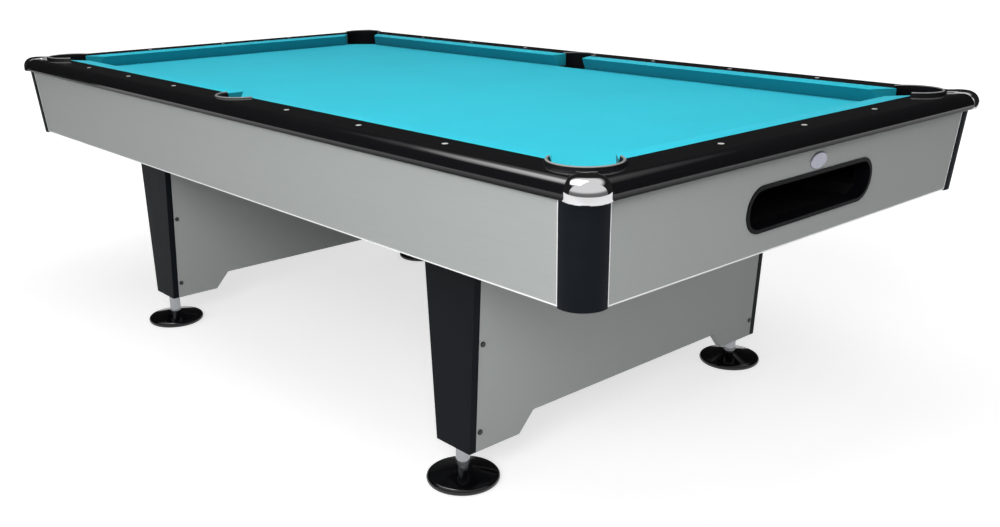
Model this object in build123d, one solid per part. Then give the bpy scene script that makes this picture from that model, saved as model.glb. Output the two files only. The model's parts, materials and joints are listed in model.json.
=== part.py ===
from build123d import *
import math
import os

# A pool table with two box pedestals, levelling feet and a ball return at the foot end.
# Millimetres. X runs along the table towards the foot end, Y towards the far side, Z up.
# The origin is on the floor under the middle of the table.
# Pieces are drawn in the +X, +Y quarter and mirrored to the others.

# Playing field and bed
field_length = 2235.2
field_width = 1117.6
bed_height = 770.0
cloth_thickness = 1.0
slate_thickness = 25.4
slate_margin = 82.0
slate_middle_length = 800.0

# Cushions
cushion_depth = 47.5
nose_height = 36.5
nose_radius = 3.0
cushion_foot_set_back = 20.0
cushion_bed_gap = 2.0

# Rails
rail_width = 142.0
rail_thickness = 38.0
rail_corner_radius = 60.0
rail_top_round = 26.0
rail_foot_round = 7.0
rail_joint_gap = 0.2

# Sights
sight_set_back = 84.0
sight_radius = 6.0
sight_depth = 1.2
sight_proud = 0.2

# Pockets
corner_mouth = 115.0
corner_centre_out = 21.5
corner_bore_radius = 63.3
corner_crest_radius = 67.3
corner_lip_height = 8.0
corner_shelf = 45.0
side_mouth = 128.0
side_mouth_back = 104.0
side_centre_out = 40.0
side_bore_radius = 54.0
side_crest_radius = 61.8
side_lip_height = 3.4
side_shelf = 14.0
liner_wall = 6.0
lip_round = 2.5
lip_flank = 4.0
liner_dish = 2.0
liner_throat_reach = 5.6
liner_gap = 0.4

# Corner caps
cap_reach = 61.0
cap_proud = 3.5
cap_centre_in = 42.4
cap_radius = 43.0
cap_shoulder_round = 30.0
cap_foot_ease = 1.5
cap_edge_radius = 28.0
cap_tongue_width = 36.0
cap_tongue_depth = 8.0

# Aprons and corner posts
apron_height = 195.0
apron_thickness = 25.0
apron_lean_degrees = 5.0
rail_overhang_end = 18.0
rail_overhang_side = 12.0
trim_height = 3.0
post_reach = 61.0
post_centre_in = 46.0
post_drop = 3.0

# Ball return
opening_width = 450.0
opening_height = 89.0
opening_corner_radius = 42.0
opening_below_rail = 100.0
bezel_flange = 5.0
bezel_flange_thickness = 2.5
bezel_wall = 3.0
bezel_behind = 4.0
bezel_gap = 0.3
badge_width = 60.0
badge_height = 36.0
badge_thickness = 3.5
badge_edge_radius = 2.5
badge_below_rail = 29.0
gutter_behind_nose = 36.2
gutter_width = 88.0
gutter_wall = 3.0
gutter_depth = 45.0
gutter_below_slate = 93.6
gutter_fall = 0.0115
gutter_head_gap = 14.0
gutter_foot_gap = 20.0
cross_run_fall = 0.03
box_inside_width = 500.0
box_inside_depth = 180.0
box_below_gutter = 38.0
box_wall = 6.0
box_head_room = 8.0
seat_gap = 0.2

# Frame under the slate
bearer_width = 45.0
bearer_height = 60.0
bearer_leg_gap = 0.3
bearer_foot_gap = 20.0
beam_width = 150.0
beam_height = 43.6
beam_leg_gap = 0.8
beam_neck = 15.0
tongue_depth = 40.0

# Pedestals
pedestal_inside_nose = 408.6
leg_inside_nose = 26.1
leg_thickness = 57.4
leg_bottom = 90.5
leg_bottom_width = 112.0
leg_taper = 0.0624
panel_thickness = 18.0
leg_edge_showing = 18.7
panel_gap = 0.2
notch_height = 48.5
notch_bottom_width = 764.0
notch_top_width = 680.0

# Levelling feet
stem_radius = 16.5
stem_length_in_leg = 60.0
stem_spare_bore = 30.0
stem_clearance = 0.1
spigot_radius = 8.0
spigot_length = 20.0
pad_radius = 84.0
pad_sole_radius = 75.0
pad_rim_height = 18.0
pad_rim_top_radius = 76.0
pad_neck_radius = 21.0
pad_height = 32.0
pad_clearance = 0.3
insert_wall = 5.5
insert_length = 45.0
insert_gap = 0.1

# Fasteners
bolt_radius = 5.0
bolt_head_radius = 9.0
bolt_head_height = 6.0
bolt_hole_gap = 0.3
rail_bolt_set_back = 66.0
rail_bolt_bite = 25.0
pedestal_bolt_spread = 70.0
pedestal_bolt_bite = 50.0
panel_bolt_radius = 3.0
panel_bolt_length = 32.0
panel_bolt_head_radius = 6.5
panel_bolt_head_height = 3.5
panel_bolt_head_rounding = 2.0
panel_bolt_first_up = 47.5
panel_bolt_pitch = 210.0
panel_bolts_per_edge = 3
sights_per_length = 8
sights_per_width = 4

# Worked-out places
half_length = field_length / 2
half_width = field_width / 2
rail_bottom = bed_height
rail_top = rail_bottom + rail_thickness
apron_bottom = rail_bottom - apron_height
opening_centre_height = rail_bottom - opening_below_rail
badge_centre_height = rail_bottom - badge_below_rail
rail_half_length = half_length + rail_width
rail_half_width = half_width + rail_width
seam_half_length = half_length + cushion_depth
seam_half_width = half_width + cushion_depth
slate_top = bed_height - cloth_thickness
slate_bottom = slate_top - slate_thickness
slate_half_length = half_length + slate_margin
slate_half_width = half_width + slate_margin
lean = math.tan(math.radians(apron_lean_degrees))
corner_x = half_length + corner_centre_out
corner_y = half_width + corner_centre_out
side_y = half_width + side_centre_out
liner_throat_bottom = slate_bottom - liner_throat_reach
pedestal_centre_out = half_length - pedestal_inside_nose
leg_outer_out = half_width - leg_inside_nose
leg_inner_out = leg_outer_out - leg_thickness
leg_centre_out = leg_outer_out - leg_thickness / 2
panel_half_width = leg_outer_out - leg_edge_showing
bearer_outer_out = leg_inner_out - bearer_leg_gap
beam_top = slate_bottom - bearer_height
gutter_low_floor = slate_bottom - gutter_below_slate
box_floor_height = gutter_low_floor - box_below_gutter
gutter_centre_out = half_width + gutter_behind_nose
gutter_inner_out = gutter_centre_out - gutter_width / 2
gutter_outer_out = gutter_centre_out + gutter_width / 2
leg_top = beam_top - beam_height
drop_inner_out = leg_outer_out + beam_leg_gap
far_reach = 4000.0


def apron_x(height):
    """Outer face of the end aprons at a height."""
    return rail_half_length - rail_overhang_end - (rail_bottom - height) * lean


def apron_y(height):
    """Outer face of the side aprons at a height."""
    return rail_half_width - rail_overhang_side - (rail_bottom - height) * lean


def leg_half(height):
    """Half the width of a leg post at a height."""
    return leg_bottom_width / 2 + (height - leg_bottom) * leg_taper


def gutter_floor(x):
    """Floor of the long gutters, falling towards the foot end."""
    return gutter_low_floor + (cross_run_far_x - x) * gutter_fall


def cross_floor(y):
    """Floor of the cross runs, falling towards the ball box."""
    return gutter_floor(cross_run_far_x) - (gutter_centre_out - y) * cross_run_fall


# The cross run lies just inside the foot apron, and the ball box ends at it.
cross_run_far_x = apron_x(gutter_low_floor) - apron_thickness - gutter_foot_gap
cross_run_near_x = cross_run_far_x - gutter_width
gutter_head_x = -(apron_x(gutter_low_floor) - apron_thickness - gutter_head_gap)
box_front_x = apron_x(box_floor_height) - apron_thickness
box_back_x = box_front_x - box_inside_depth
box_half_width = box_inside_width / 2 + box_wall


def block(x0, x1, y0, y1, z0, z1):
    return Pos((x0 + x1) / 2, (y0 + y1) / 2, (z0 + z1) / 2) * Box(x1 - x0, y1 - y0, z1 - z0)


def prism(points, z0, z1):
    """An upright prism on a plan outline."""
    outline = Polygon(*points, align=None)
    return extrude(Pos(0, 0, z0) * outline, amount=z1 - z0, dir=(0, 0, 1))


def swept(points, direction, length):
    """A flat outline of points in space, pushed straight along a direction."""
    face = Face(Wire.make_polygon(points, close=True))
    return extrude(face, amount=length, dir=direction)


def ruled(first, last):
    """A solid between two outlines with the same number of corners."""
    outlines = [Wire.make_polygon(points, close=True) for points in (first, last)]
    return Solid.make_loft(outlines, ruled=True)


def upright(x, y, radius, z0, z1):
    return Pos(x, y, (z0 + z1) / 2) * Cylinder(radius, z1 - z0)


def rectangle_at(x0, x1, y0, y1, z):
    return [(x0, y0, z), (x1, y0, z), (x1, y1, z), (x0, y1, z)]


def quarter(shape, x_sign, y_sign):
    """A shape of the +X, +Y quarter, moved to another quarter."""
    if x_sign < 0:
        shape = mirror(shape, about=Plane.YZ)
    if y_sign < 0:
        shape = mirror(shape, about=Plane.XZ)
    return shape


ends = {"head": -1, "foot": 1}
sides = {"near": -1, "far": 1}
corners = [(end, side, ends[end], sides[side]) for end in ends for side in sides]
nodes = {}

# Places of sights and rail bolts along the long and the end rails
long_marks = [field_length * (i / sights_per_length - 0.5) for i in range(1, sights_per_length)]
long_marks = [x for x in long_marks if abs(x) > side_mouth]
end_marks = [field_width * (i / sights_per_width - 0.5) for i in range(1, sights_per_width)]


def mark_places(set_back):
    """Points on all four rails at one distance behind the cushion nose."""
    on_sides = [(x, sign * (half_width + set_back)) for x in long_marks for sign in (-1, 1)]
    on_ends = [(sign * (half_length + set_back), y) for y in end_marks for sign in (-1, 1)]
    return on_sides + on_ends


def joined(shapes):
    return Compound([solid for shape in shapes for solid in shape.solids()])


# Slate bed, with its corners cut off at the pocket shelves and its side pockets open to the edge


def corner_cut():
    """The corner of the bed past the edge of its pocket's shelf."""
    shelf_edge = (corner_shelf - corner_mouth / 2) * math.sqrt(0.5)
    reach = 4 * slate_margin
    beyond = block(0, reach, -reach, reach, 0, rail_top)
    return Pos(half_length + shelf_edge, half_width + shelf_edge, 0) * Rot(0, 0, 45) * beyond


def side_cut(radius):
    """The room that a side pocket takes out of the bed, up to the edge of its shelf."""
    round_part = upright(0, side_y, radius, 0, rail_top)
    slot = block(-radius, radius, side_y, far_reach, 0, rail_top)
    outside = block(-far_reach, far_reach, half_width + side_shelf, far_reach, 0, rail_top)
    return (round_part + slot) & outside


corner_hole = corner_bore_radius + liner_wall + liner_gap
side_hole = side_bore_radius + liner_wall + liner_gap
bed_cuts = [quarter(corner_cut(), sx, sy) for end, side, sx, sy in corners]
bed_cuts += [quarter(side_cut(side_hole), 1, sy) for sy in sides.values()]
rail_bolt_tip = rail_bottom + rail_bolt_bite
bolt_holes = [
    upright(x, y, bolt_radius + bolt_hole_gap, slate_bottom, rail_bolt_tip + bolt_hole_gap)
    for x, y in mark_places(rail_bolt_set_back)
]


def bed_layer(x0, x1, z0, z1):
    layer = block(x0, x1, -slate_half_width, slate_half_width, z0, z1)
    return layer - bed_cuts - bolt_holes


slate_joint = slate_middle_length / 2
nodes["slate_head"] = bed_layer(-slate_half_length, -slate_joint, slate_bottom, slate_top)
nodes["slate_centre"] = bed_layer(-slate_joint, slate_joint, slate_bottom, slate_top)
nodes["slate_foot"] = bed_layer(slate_joint, slate_half_length, slate_bottom, slate_top)
nodes["bed_cloth"] = bed_layer(-slate_half_length, slate_half_length, slate_top, bed_height)

# Cushions: one section, cut to the pocket mouths in plan
corner_tip = corner_mouth * math.sqrt(0.5)


def cushion_section():
    """Points of distance behind the nose and height."""
    nose = bed_height + nose_height
    return [
        (0, nose - nose_radius / 2),
        (nose_radius / 2, nose),
        (cushion_depth, rail_top),
        (cushion_depth, bed_height + cushion_bed_gap),
        (cushion_foot_set_back, bed_height + cushion_bed_gap),
    ]


def facing_at(tip, seam_end, depth):
    """Where a cushion's end facing is at a depth behind the nose."""
    return tip + (seam_end - tip) * depth / cushion_depth


def plan_outline(low_tip, low_seam, high_tip, high_seam):
    """Plan of a cushion as points of place along the rail and depth, run past both faces."""
    depths = (-cushion_depth, 2 * cushion_depth)
    low = [(facing_at(low_tip, low_seam, d), d) for d in depths]
    high = [(facing_at(high_tip, high_seam, d), d) for d in depths]
    return [low[0], high[0], high[1], low[1]]


bore_behind_seam = cushion_depth - corner_centre_out
corner_seam_in = math.sqrt(corner_bore_radius**2 - bore_behind_seam**2) - corner_centre_out
side_tip = side_mouth / 2
side_seam = side_mouth_back / 2
long_outline = plan_outline(side_tip, side_seam, half_length - corner_tip, half_length - corner_seam_in)
long_section = [(0, half_width + d, z) for d, z in cushion_section()]
long_plan = prism([(along, half_width + d) for along, d in long_outline], 0, rail_top)
long_cushion = swept(long_section, (1, 0, 0), half_length) & long_plan
end_outline = plan_outline(
    corner_tip - half_width,
    corner_seam_in - half_width,
    half_width - corner_tip,
    half_width - corner_seam_in,
)
end_section = [(half_length + d, -half_width, z) for d, z in cushion_section()]
end_plan = prism([(half_length + d, along) for along, d in end_outline], 0, rail_top)
end_cushion = swept(end_section, (0, 1, 0), field_width) & end_plan
for end, side, sx, sy in corners:
    nodes[f"cushion_{side}_{end}"] = quarter(long_cushion, sx, sy)
for end, sx in ends.items():
    nodes[f"cushion_{end}"] = quarter(end_cushion, sx, 1)

# Rails share one blank with a rounded outer edge, and a round cap closes each corner
seam_room = block(
    -seam_half_length, seam_half_length, -seam_half_width, seam_half_width, 0, 2 * rail_top
)


def rail_blank():
    """The rail frame before it is cut."""
    outline = Pos(0, 0, rail_bottom) * RectangleRounded(
        2 * rail_half_length, 2 * rail_half_width, rail_corner_radius
    )
    slab = extrude(outline, amount=rail_thickness, dir=(0, 0, 1))
    rounded = fillet(slab.faces().sort_by(Axis.Z)[-1].edges(), radius=rail_top_round)
    return fillet(rounded.faces().sort_by(Axis.Z)[0].edges(), radius=rail_foot_round)


def cap_dome(grow):
    """The round knob at the corner, or the same grown all round."""
    radius = cap_radius + grow
    foot = rail_bottom - grow
    top = rail_top + cap_proud + grow
    bend = cap_shoulder_round + grow
    foot_edge = (radius - cap_foot_ease, foot)
    side_low = (radius, foot + cap_foot_ease)
    side_high = (radius, top - bend)
    crown_edge = (radius - bend, top)
    section = make_face(
        [
            Line((0, foot), foot_edge),
            Line(foot_edge, side_low),
            Line(side_low, side_high),
            RadiusArc(side_high, crown_edge, -bend),
            Line(crown_edge, (0, top)),
            Line((0, top), (0, foot)),
        ]
    )
    return Pos(cap_x, cap_y, 0) * revolve(Plane.XZ * section, axis=Axis.Z)


def cap_tongue(grow):
    """The flat tongue that runs from the knob towards the pocket, or the same grown."""
    half = cap_tongue_width / 2 + grow
    bottom = rail_top - cap_tongue_depth - grow
    strip = block(0, rail_width, -half, half, bottom, rail_top + cap_proud + grow)
    return Pos(cap_x, cap_y, 0) * Rot(0, 0, 225) * strip


cap_x = rail_half_length - cap_centre_in
cap_y = rail_half_width - cap_centre_in
lip_radius = corner_crest_radius + lip_round + lip_flank
rail_end_outline = [
    (-rail_width, -rail_width),
    (cap_reach, -rail_width),
    (cap_reach, cap_centre_in),
    (cap_centre_in, cap_reach),
    (-rail_width, cap_reach),
]
cap_room = prism([(rail_half_length - u, rail_half_width - v) for u, v in rail_end_outline], 0, 2 * rail_top)
cap_room = cap_room + upright(cap_x, cap_y, cap_edge_radius, 0, 2 * rail_top)
cap_room = cap_room + cap_dome(rail_joint_gap) + cap_tongue(rail_joint_gap)
cap_room = cap_room - upright(corner_x, corner_y, lip_radius + liner_gap, 0, 2 * rail_top)
lip_room = upright(corner_x, corner_y, lip_radius + liner_gap + rail_joint_gap, 0, 2 * rail_top)
corner_cap = cap_dome(0) + cap_tongue(0) - lip_room
nodes["corner_caps"] = joined([quarter(corner_cap, sx, sy) for end, side, sx, sy in corners])

corner_room = upright(corner_x, corner_y, corner_hole, 0, 2 * rail_top)
side_room = upright(0, side_y, side_hole, 0, 2 * rail_top)
rail_cuts = [seam_room]
rail_cuts += [quarter(cap_room + corner_room, sx, sy) for end, side, sx, sy in corners]
rail_cuts += [quarter(side_room, 1, sy) for sy in sides.values()]
rail_cuts += [
    upright(x, y, sight_radius, rail_top - sight_depth, 2 * rail_top) for x, y in mark_places(sight_set_back)
]
rail_frame = rail_blank() - rail_cuts - bolt_holes
mitre_x = rail_half_length + rail_width
mitre_y = rail_half_width + rail_width
mitre_in = 2.5 * rail_width
side_share = prism(
    [
        (-mitre_x, mitre_y),
        (mitre_x, mitre_y),
        (mitre_x - mitre_in, mitre_y - mitre_in),
        (mitre_in - mitre_x, mitre_y - mitre_in),
    ],
    0,
    2 * rail_top,
)
end_share = prism(
    [
        (mitre_x, mitre_y),
        (mitre_x, -mitre_y),
        (mitre_x - mitre_in, mitre_in - mitre_y),
        (mitre_x - mitre_in, mitre_y - mitre_in),
    ],
    0,
    2 * rail_top,
)
for side, sy in sides.items():
    nodes[f"side_rail_{side}"] = rail_frame & quarter(side_share, 1, sy)
for end, sx in ends.items():
    nodes[f"end_rail_{end}"] = rail_frame & quarter(end_share, sx, 1)
nodes["rail_sights"] = joined(
    [
        upright(x, y, sight_radius, rail_top - sight_depth, rail_top + sight_proud)
        for x, y in mark_places(sight_set_back)
    ]
)


def bolt(x, y, radius, foot, head_seat, head_up):
    """An upright bolt, its shank from foot to the seat of its head."""
    shank = upright(x, y, radius, min(foot, head_seat), max(foot, head_seat))
    head_end = head_seat + head_up
    head = upright(x, y, bolt_head_radius, min(head_seat, head_end), max(head_seat, head_end))
    return shank + head


nodes["rail_bolts"] = joined(
    [
        bolt(x, y, bolt_radius, rail_bolt_tip, slate_bottom, -bolt_head_height)
        for x, y in mark_places(rail_bolt_set_back)
    ]
)

# Pocket liners: a raised lip on the rail and a throat down through the bed


def pocket_liner(x, y, bore, crest, height):
    """A round liner with its lip's crest at a radius and a height over the rail."""
    outer = bore + liner_wall
    shoulder = rail_top + height - lip_round
    lip_edge = (crest + lip_round + lip_flank, rail_top)
    crest_outer = (crest + lip_round, shoulder)
    crest_top = (crest, rail_top + height)
    crest_inner = (crest - lip_round, shoulder)
    bore_edge = (bore, rail_top - liner_dish)
    section = make_face(
        [
            Line((bore, liner_throat_bottom), (outer, liner_throat_bottom)),
            Line((outer, liner_throat_bottom), (outer, rail_top)),
            Line((outer, rail_top), lip_edge),
            Line(lip_edge, crest_outer),
            ThreePointArc(crest_outer, crest_top, crest_inner),
            Line(crest_inner, bore_edge),
            Line(bore_edge, (bore, liner_throat_bottom)),
        ]
    )
    ring = Pos(x, y, 0) * revolve(Plane.XZ * section, axis=Axis.Z)
    return ring - seam_room


corner_liner = pocket_liner(corner_x, corner_y, corner_bore_radius, corner_crest_radius, corner_lip_height)
side_liner = pocket_liner(0, side_y, side_bore_radius, side_crest_radius, side_lip_height)
for end, side, sx, sy in corners:
    nodes[f"pocket_liner_{end}_{side}"] = quarter(corner_liner, sx, sy)
for side, sy in sides.items():
    nodes[f"pocket_liner_side_{side}"] = quarter(side_liner, 1, sy)

# Aprons, their bottom trims and the corner posts all lean in towards the bottom


def side_board(z0, z1):
    outlines = []
    for z in (z0, z1):
        reach = apron_x(z) - post_reach
        outlines.append(rectangle_at(-reach, reach, apron_y(z) - apron_thickness, apron_y(z), z))
    return ruled(*outlines)


def end_board(z0, z1):
    outlines = []
    for z in (z0, z1):
        reach = apron_y(z) - post_reach
        outlines.append(rectangle_at(apron_x(z) - apron_thickness, apron_x(z), -reach, reach, z))
    return ruled(*outlines)


board_bottom = apron_bottom + trim_height
side_apron = side_board(board_bottom, rail_bottom)
end_apron = end_board(board_bottom, rail_bottom)
side_trim = side_board(apron_bottom, board_bottom)
end_trim = end_board(apron_bottom, board_bottom)
nodes["apron_edge_trims"] = joined(
    [quarter(side_trim, 1, sy) for sy in sides.values()] + [quarter(end_trim, sx, 1) for sx in ends.values()]
)
post_radius = math.hypot(post_centre_in, post_reach - post_centre_in)


def corner_post():
    bottom = apron_bottom - post_drop
    x = apron_x(bottom)
    y = apron_y(bottom)
    large = Rectangle(2 * rail_width, 2 * rail_width)
    front = Pos(x - post_centre_in, y - post_centre_in) * Circle(post_radius)
    between_aprons = Pos(x - post_reach + rail_width, y - post_reach + rail_width) * large
    behind_aprons = Pos(x - apron_thickness - rail_width, y - apron_thickness - rail_width) * large
    section = (front & between_aprons) - behind_aprons
    rise = rail_bottom - bottom
    direction = Vector(lean, lean, 1)
    return extrude(Pos(0, 0, bottom) * section, amount=rise * direction.length, dir=direction)


post = corner_post()
for end, side, sx, sy in corners:
    nodes[f"corner_post_{end}_{side}"] = quarter(post, sx, sy)

# Ball return: opening in the foot apron, its bezel, the badge, the box and the gutters


def foot_face(height):
    """A plane on the leaning outer face of the foot apron, local X along Y and local Y up the slope."""
    return Plane(origin=(apron_x(height), 0, height), x_dir=(0, 1, 0), z_dir=(1, 0, -lean))


opening_place = foot_face(opening_centre_height)


def opening_prism(grow, front, back):
    """The opening's outline, grown, from in front of the apron's face to behind it."""
    width = opening_width + 2 * grow
    height = opening_height + 2 * grow
    outline = RectangleRounded(width, height, opening_corner_radius + grow)
    return opening_place * extrude(Pos(0, 0, -back) * outline, amount=front + back, dir=(0, 0, 1))


through = 2 * apron_thickness
foot_apron = end_apron - opening_prism(0, through, through)
bezel_back = apron_thickness + bezel_behind
bezel = opening_prism(bezel_flange, bezel_flange_thickness, 0) + opening_prism(-bezel_gap, 0, bezel_back)
nodes["return_bezel"] = bezel - opening_prism(-bezel_gap - bezel_wall, through, through)
nodes["apron_foot"] = foot_apron
nodes["apron_head"] = quarter(end_apron, -1, 1)
for side, sy in sides.items():
    nodes[f"apron_{side}"] = quarter(side_apron, 1, sy)
badge_blank = extrude(Ellipse(badge_width / 2, badge_height / 2), amount=badge_thickness)
badge_blank = fillet(badge_blank.faces().sort_by(Axis.Z)[-1].edges(), radius=badge_edge_radius)
nodes["badge"] = foot_face(badge_centre_height) * badge_blank

cabinet_inside = ruled(
    *[
        rectangle_at(
            apron_thickness - apron_x(z),
            apron_x(z) - apron_thickness,
            apron_thickness - apron_y(z),
            apron_y(z) - apron_thickness,
            z,
        )
        for z in (apron_bottom, rail_bottom)
    ]
)


def ball_box():
    top = slate_bottom - box_head_room
    back = box_back_x - box_wall
    outer = block(back, far_reach, -box_half_width, box_half_width, box_floor_height - box_wall, top)
    inner_half = box_inside_width / 2
    room = block(box_back_x, far_reach, -inner_half, inner_half, box_floor_height, far_reach)
    sill = cross_floor(box_half_width) - gutter_wall - seat_gap
    gate_near_x = cross_run_near_x - seat_gap
    gate_far_x = cross_run_far_x + seat_gap
    gate = block(gate_near_x, gate_far_x, -box_half_width, box_half_width, sill, far_reach)
    return (outer & cabinet_inside) - room - gate - opening_prism(seat_gap, through, bezel_back + seat_gap)


def long_trough(inset, head_x, foot_x, below, above):
    """A straight trough or the channel inside it, as a loft between its two ends."""
    low, high = gutter_inner_out + inset, gutter_outer_out - inset
    ends_of_run = []
    for x in (head_x, foot_x):
        bottom = gutter_floor(x) - below
        top = gutter_floor(x) + above
        ends_of_run.append([(x, low, bottom), (x, high, bottom), (x, high, top), (x, low, top)])
    return ruled(*ends_of_run)


def cross_trough(inset, end_y, below, above):
    low, high = cross_run_near_x + inset, cross_run_far_x - inset
    ends_of_run = []
    for y in (gutter_centre_out, end_y):
        bottom = cross_floor(y) - below
        top = cross_floor(y) + above
        ends_of_run.append([(low, y, bottom), (high, y, bottom), (high, y, top), (low, y, top)])
    return ruled(*ends_of_run)


def gutter():
    outer = long_trough(0, gutter_head_x, cross_run_far_x, gutter_wall, gutter_depth)
    outer = outer + cross_trough(0, box_half_width - box_wall, gutter_wall, gutter_depth)
    clear = 2 * gutter_depth
    long_channel = long_trough(
        gutter_wall, gutter_head_x + gutter_wall, cross_run_far_x - gutter_wall, 0, clear
    )
    return outer - long_channel - cross_trough(gutter_wall, 0, 0, clear)


nodes["ball_box"] = ball_box()
trough = gutter()
for side, sy in sides.items():
    nodes[f"gutter_{side}"] = quarter(trough, 1, sy)

# Bearers under the slate, and cross beams that carry them on the pedestals
bearer = block(
    -far_reach,
    cross_run_near_x - bearer_foot_gap,
    bearer_outer_out - bearer_width,
    bearer_outer_out,
    beam_top,
    slate_bottom,
)
for side, sy in sides.items():
    nodes[f"slate_bearer_{side}"] = quarter(bearer & cabinet_inside, 1, sy)


def pedestal_bolt_places(centre):
    spread = pedestal_bolt_spread / 2
    return [(centre + dx, sy * leg_centre_out) for dx in (-spread, spread) for sy in (-1, 1)]


def pedestal_bolt_holes(centre):
    return [
        upright(x, y, bolt_radius + bolt_hole_gap, leg_top - pedestal_bolt_bite - 1, beam_top)
        for x, y in pedestal_bolt_places(centre)
    ]


def cross_beam(centre):
    """A beam on the pedestal top, with a low tongue under each gutter that holds the side apron."""
    low, high = centre - beam_width / 2, centre + beam_width / 2
    neck = drop_inner_out + beam_neck
    tongue_top = gutter_floor(high) - gutter_wall - seat_gap
    tongue_bottom = tongue_top - tongue_depth
    beam = block(low, high, -neck, neck, leg_top, beam_top)
    for sy in sides.values():
        drop = quarter(block(low, high, drop_inner_out, neck, tongue_bottom, beam_top), 1, sy)
        tongue = quarter(block(low, high, drop_inner_out, far_reach, tongue_bottom, tongue_top), 1, sy)
        beam = beam + drop + tongue
    return (beam & cabinet_inside) - pedestal_bolt_holes(centre)


for end, sx in ends.items():
    nodes[f"cross_beam_{end}"] = cross_beam(sx * pedestal_centre_out)
nodes["pedestal_bolts"] = joined(
    [
        bolt(x, y, bolt_radius, leg_top - pedestal_bolt_bite, beam_top, bolt_head_height)
        for sx in ends.values()
        for x, y in pedestal_bolt_places(sx * pedestal_centre_out)
    ]
)

# Pedestals: leg posts rebated for a leaning panel on each face


def panel_slab(facing, half_span):
    """A leaning panel blank on one face of the foot pedestal, facing +X or -X."""
    outside = [(leg_half(z), z) for z in (leg_bottom, leg_top)]
    inside = [(leg_half(z) - panel_thickness, z) for z in (leg_top, leg_bottom)]
    section = [(pedestal_centre_out + facing * out, -half_span, z) for out, z in outside + inside]
    return swept(section, (0, 1, 0), 2 * half_span)


def panel_bolt_frames(facing):
    """Planes on a panel's face at its bolts, facing outwards."""
    heights = [leg_bottom + panel_bolt_first_up + i * panel_bolt_pitch for i in range(panel_bolts_per_edge)]
    return [
        Plane(
            origin=(pedestal_centre_out + facing * leg_half(z), sy * leg_centre_out, z),
            x_dir=(0, 1, 0),
            z_dir=(facing, 0, -leg_taper),
        )
        for z in heights
        for sy in sides.values()
    ]


panel_bolt_hole = Pos(0, 0, -panel_bolt_length / 2) * Cylinder(
    panel_bolt_radius + bolt_hole_gap, panel_bolt_length + 2 * bolt_hole_gap
)
panel_bolt_head = Cylinder(panel_bolt_head_radius, panel_bolt_head_height)
panel_bolt_head = fillet(panel_bolt_head.edges().sort_by(Axis.Z)[-1:], radius=panel_bolt_head_rounding)
panel_bolt_head = Pos(0, 0, panel_bolt_head_height / 2) * panel_bolt_head
panel_bolt_shank = Pos(0, 0, -panel_bolt_length / 2) * Cylinder(panel_bolt_radius, panel_bolt_length)
panel_bolt = panel_bolt_head + panel_bolt_shank

bolt_frames = {facing: panel_bolt_frames(facing) for facing in (1, -1)}
all_panel_bolt_holes = [frame * panel_bolt_hole for frames in bolt_frames.values() for frame in frames]
notch_low, notch_high = notch_bottom_width / 2, notch_top_width / 2
notch_top = leg_bottom + notch_height
notch_run = (notch_low - notch_high) / notch_height
notch_mouth = notch_low + notch_run * notch_height
notch = swept(
    [
        (0, -notch_mouth, leg_bottom - notch_height),
        (0, -notch_high, notch_top),
        (0, notch_high, notch_top),
        (0, notch_mouth, leg_bottom - notch_height),
    ],
    (1, 0, 0),
    far_reach,
)
for facing, face_name in ((1, "outer"), (-1, "inner")):
    panel = panel_slab(facing, panel_half_width) - notch - all_panel_bolt_holes
    for end, sx in ends.items():
        nodes[f"{end}_pedestal_{face_name}_panel"] = quarter(panel, sx, 1)
nodes["panel_bolts"] = joined(
    [
        quarter(frame * panel_bolt, sx, 1)
        for sx in ends.values()
        for frames in bolt_frames.values()
        for frame in frames
    ]
)

insert_radius = stem_radius + stem_clearance + insert_wall
stem_top = leg_bottom + stem_length_in_leg


def foot_bore(radius, top):
    return upright(pedestal_centre_out, leg_centre_out, radius, 0, top)


def leg_post():
    section = [
        (pedestal_centre_out - leg_half(leg_bottom), leg_inner_out, leg_bottom),
        (pedestal_centre_out + leg_half(leg_bottom), leg_inner_out, leg_bottom),
        (pedestal_centre_out + leg_half(leg_top), leg_inner_out, leg_top),
        (pedestal_centre_out - leg_half(leg_top), leg_inner_out, leg_top),
    ]
    leg = swept(section, (0, 1, 0), leg_thickness)
    for facing in (1, -1):
        leg = leg - panel_slab(facing, panel_half_width + panel_gap)
    leg = leg - foot_bore(insert_radius + insert_gap, leg_bottom + insert_length)
    leg = leg - foot_bore(stem_radius + insert_wall / 2, stem_top + stem_spare_bore)
    return leg - all_panel_bolt_holes - pedestal_bolt_holes(pedestal_centre_out)


leg = leg_post()
for end, side, sx, sy in corners:
    nodes[f"leg_{end}_{side}"] = quarter(leg, sx, sy)

# Levelling feet: threaded insert, stem and flared pad
insert = upright(pedestal_centre_out, leg_centre_out, insert_radius, leg_bottom, leg_bottom + insert_length)
insert = insert - foot_bore(stem_radius + stem_clearance, far_reach)
nodes["foot_inserts"] = joined([quarter(insert, sx, sy) for end, side, sx, sy in corners])
stem_bottom = pad_height + pad_clearance
spigot_bottom = stem_bottom - spigot_length
stem = upright(pedestal_centre_out, leg_centre_out, stem_radius, stem_bottom, stem_top)
stem = stem + upright(pedestal_centre_out, leg_centre_out, spigot_radius, spigot_bottom, stem_bottom)


def foot_pad():
    section = make_face(
        [
            Line((0, 0), (pad_sole_radius, 0)),
            ThreePointArc(
                (pad_sole_radius, 0), (pad_radius, pad_rim_height / 2), (pad_rim_top_radius, pad_rim_height)
            ),
            Line((pad_rim_top_radius, pad_rim_height), (pad_neck_radius, pad_height)),
            Line((pad_neck_radius, pad_height), (0, pad_height)),
            Line((0, pad_height), (0, 0)),
        ]
    )
    pad = revolve(Plane.XZ * section, axis=Axis.Z)
    bore = upright(0, 0, spigot_radius + stem_clearance, spigot_bottom - pad_clearance, pad_height)
    return Pos(pedestal_centre_out, leg_centre_out, 0) * (pad - bore)


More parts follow.
